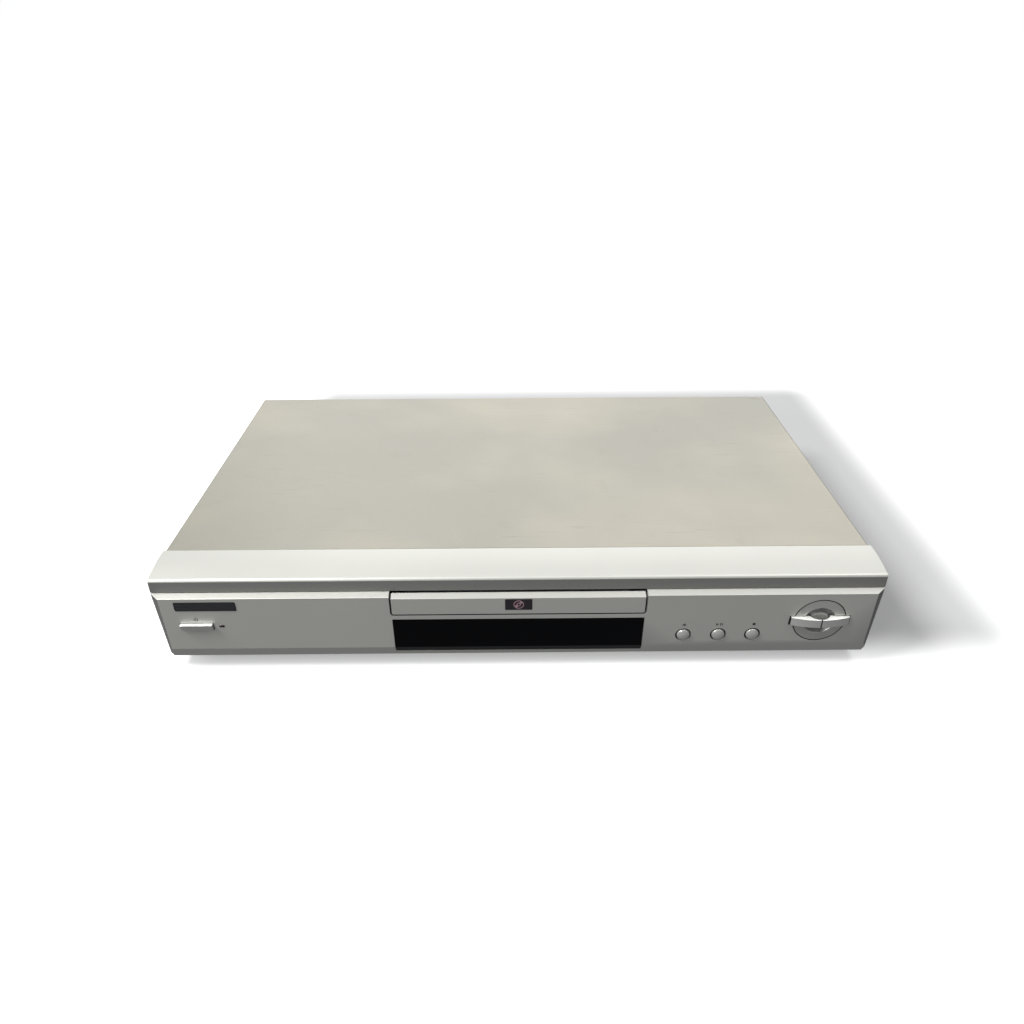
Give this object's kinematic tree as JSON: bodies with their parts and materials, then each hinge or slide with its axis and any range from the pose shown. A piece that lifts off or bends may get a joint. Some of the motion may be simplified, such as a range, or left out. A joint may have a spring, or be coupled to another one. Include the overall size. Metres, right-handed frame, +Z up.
{
  "type": "dvd player",
  "caption": "Slim full-width disc player: folded steel cover, silver moulded front with a sliding disc tray, dark window, round buttons and a bar-shaped skip control.",
  "frame": {"origin": "on the standing surface, at the middle of the player's box", "axes": "+X right seen from the front, +Y from front to back, +Z up"},
  "size_m": [0.43, 0.2748, 0.0686],
  "materials": {
    "cover_paint": "matte silver baked enamel",
    "zinc_steel": "zinc plated sheet",
    "bezel_silver": "silver painted ABS",
    "window_black": "dark tinted acrylic",
    "display_glass": "display tube glass",
    "lens_clear": "tinted light pipe",
    "button_silver": "metallised ABS",
    "dish_silver": "metallised ABS",
    "board_green": "solder-masked glass epoxy",
    "board_brown": "phenolic paper laminate",
    "black_plastic": "moulded black plastic",
    "tray_grey": "moulded dark grey plastic",
    "gear_white": "acetal",
    "motor_steel": "nickel plated can",
    "belt_rubber": "square belt",
    "foot_plastic": "moulded foot",
    "foot_rubber": "pad",
    "ferrite": "ferrite and tape",
    "capacitor_sleeve": "printed sleeve, left plain",
    "aluminium": "extruded",
    "chip_epoxy": "moulded epoxy",
    "nickel": "nickel plated brass",
    "screw_steel": "zinc plated screw",
    "die_cast": "die casting",
    "lens_glass": "moulded lens",
    "ribbon_white": "flat cable",
    "magnet": "sintered magnet"
  },
  "bodies": {
    "case": {"top_cover": "cover_paint", "chassis_base": "zinc_steel", "rear_panel": "zinc_steel", "feet": "foot_plastic", "foot_pads": "foot_rubber", "front_bezel": "bezel_silver", "display_window": "window_black", "display_tube": "display_glass", "standby_lens": "lens_clear", "skip_dish": "dish_silver", "front_board": "board_brown", "standby_board": "board_brown", "tact_switches": "black_plastic", "drive_belt": "belt_rubber", "loading_motor": "motor_steel", "loader_frame": "black_plastic", "clamper_bridge": "zinc_steel", "loader_grommets": "belt_rubber", "loader_screws": "screw_steel", "board_standoffs": "zinc_steel", "board_screws": "screw_steel", "power_board": "board_brown", "transformer": "ferrite", "capacitors": "capacitor_sleeve", "power_heat_sink": "aluminium", "mains_choke": "ferrite", "board_connectors": "gear_white", "main_board": "board_green", "processor_chips": "chip_epoxy", "jack_block": "black_plastic", "jack_shells": "nickel", "video_jack": "black_plastic", "mains_inlet": "black_plastic", "mains_pins": "nickel", "cover_screws": "screw_steel", "rear_screws": "screw_steel", "front_ribbon": "ribbon_white", "loader_ribbon": "ribbon_white"},
    "tray": {"disc_tray": "tray_grey", "tray_door": "bezel_silver"},
    "tray_gear": {"tray_gear": "gear_white"},
    "pulley_gear": {"pulley_gear": "gear_white"},
    "motor_pulley": {"motor_pulley": "gear_white"},
    "clamper": {"clamper": "gear_white", "clamper_magnet": "magnet"},
    "cam_slider": {"cam_slider": "gear_white"},
    "deck": {"deck_frame": "tray_grey", "spindle_motor": "motor_steel", "guide_rods": "nickel", "sled_motor": "motor_steel"},
    "turntable": {"turntable": "black_plastic"},
    "sled": {"pickup_sled": "die_cast", "pickup_lens": "lens_glass"},
    "lead_screw": {"lead_screw": "nickel"},
    "power_button": {"power_button": "button_silver"},
    "open_close_button": {"open_close_button": "button_silver"},
    "play_pause_button": {"play_pause_button": "button_silver"},
    "stop_button": {"stop_button": "button_silver"},
    "skip_back_button": {"skip_back_button": "button_silver"},
    "skip_forward_button": {"skip_forward_button": "button_silver"}
  },
  "joints": [
    {"name": "tray_slide", "type": "slide", "parent": "case", "child": "tray", "axis": [0, -1, 0], "range_m": [0, 0.138]},
    {"name": "tray_gear_spin", "type": "hinge", "parent": "case", "child": "tray_gear", "pos_m": [-0.06, -0.082, 0.0418], "axis": [0, 0, 1], "range_deg": [-791.47, 0]},
    {"name": "pulley_gear_spin", "type": "hinge", "parent": "case", "child": "pulley_gear", "pos_m": [-0.06, -0.097, 0.0418], "axis": [0, 0, 1], "range_deg": [0, 1582.94]},
    {"name": "motor_pulley_spin", "type": "hinge", "parent": "case", "child": "motor_pulley", "pos_m": [-0.06, -0.052, 0.0376], "axis": [0, 0, 1], "range_deg": [0, 5021.93]},
    {"name": "deck_tilt", "type": "hinge", "parent": "case", "child": "deck", "pos_m": [0, 0.052, 0.036], "axis": [1, 0, 0], "range_deg": [0, 5]},
    {"name": "cam_slide", "type": "slide", "parent": "case", "child": "cam_slider", "axis": [1, 0, 0], "range_m": [0, 0.02703]},
    {"name": "turntable_spin", "type": "hinge", "parent": "deck", "child": "turntable", "pos_m": [0, -0.058, 0.044], "axis": [0, 0, 1], "continuous": true},
    {"name": "clamper_spin", "type": "hinge", "parent": "case", "child": "clamper", "pos_m": [0, -0.058, 0.0536], "axis": [0, 0, 1], "continuous": true},
    {"name": "sled_slide", "type": "slide", "parent": "deck", "child": "sled", "axis": [0, 1, 0], "range_m": [0, 0.035]},
    {"name": "lead_screw_spin", "type": "hinge", "parent": "deck", "child": "lead_screw", "pos_m": [0.032, -0.044, 0.035], "axis": [0, 1, 0], "range_deg": [0, 4204.2]},
    {"name": "power_press", "type": "slide", "parent": "case", "child": "power_button", "axis": [0, 1, 0], "range_m": [0, 0.0006], "stiffness_N_per_m": 1500},
    {"name": "open_close_press", "type": "slide", "parent": "case", "child": "open_close_button", "axis": [0, 1, 0], "range_m": [0, 0.0006], "stiffness_N_per_m": 1500},
    {"name": "play_pause_press", "type": "slide", "parent": "case", "child": "play_pause_button", "axis": [0, 1, 0], "range_m": [0, 0.0006], "stiffness_N_per_m": 1500},
    {"name": "stop_press", "type": "slide", "parent": "case", "child": "stop_button", "axis": [0, 1, 0], "range_m": [0, 0.0006], "stiffness_N_per_m": 1500},
    {"name": "skip_back_press", "type": "slide", "parent": "case", "child": "skip_back_button", "axis": [0, 1, 0], "range_m": [0, 0.0006], "stiffness_N_per_m": 1500},
    {"name": "skip_forward_press", "type": "slide", "parent": "case", "child": "skip_forward_button", "axis": [0, 1, 0], "range_m": [0, 0.0006], "stiffness_N_per_m": 1500}
  ],
  "couplings": [
    {"joint": "tray_gear_spin", "follows": "tray_slide", "rad_per_m": -100},
    {"joint": "pulley_gear_spin", "follows": "tray_slide", "rad_per_m": 200},
    {"joint": "motor_pulley_spin", "follows": "tray_slide", "rad_per_m": 634.5},
    {"joint": "cam_slide", "follows": "deck_tilt", "m_per_rad": 0.3094},
    {"joint": "clamper_spin", "follows": "turntable_spin", "ratio": 1},
    {"joint": "lead_screw_spin", "follows": "sled_slide", "rad_per_m": 2094.4}
  ]
}
